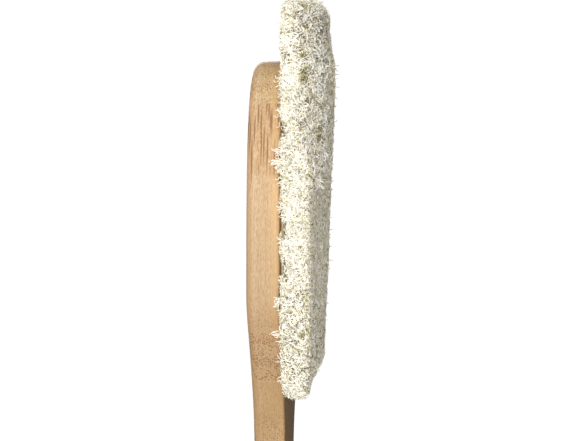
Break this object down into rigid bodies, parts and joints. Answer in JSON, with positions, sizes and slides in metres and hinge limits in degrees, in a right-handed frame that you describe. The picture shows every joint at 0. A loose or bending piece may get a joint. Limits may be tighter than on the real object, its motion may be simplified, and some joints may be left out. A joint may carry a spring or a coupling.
{
  "type": "loofah back scrubber",
  "caption": "Long-handled back scrubber: a thick loofah pad on a rounded bamboo paddle with a flat handle and a hanging hole.",
  "frame": {"origin": "middle of the bottom of the whole object's box, lying on the flat back of the bamboo", "axes": "+X along the handle towards its free end, +Z out of the scrubbing face, +Y across the width"},
  "size_m": [0.42, 0.079, 0.0272],
  "materials": {
    "bamboo": "lacquered satin bamboo",
    "loofah": "dry matte plant fibre",
    "adhesive": "clouded waterproof glue"
  },
  "bodies": {
    "root": {"bamboo_strip_01": "bamboo", "bamboo_strip_02": "bamboo", "bamboo_strip_03": "bamboo", "bamboo_strip_04": "bamboo", "bamboo_strip_05": "bamboo", "bamboo_strip_06": "bamboo", "bamboo_strip_07": "bamboo", "bamboo_strip_08": "bamboo", "bamboo_strip_09": "bamboo", "bamboo_strip_10": "bamboo", "adhesive_bed": "adhesive", "loofah_pad": "loofah"}
  },
  "joints": []
}
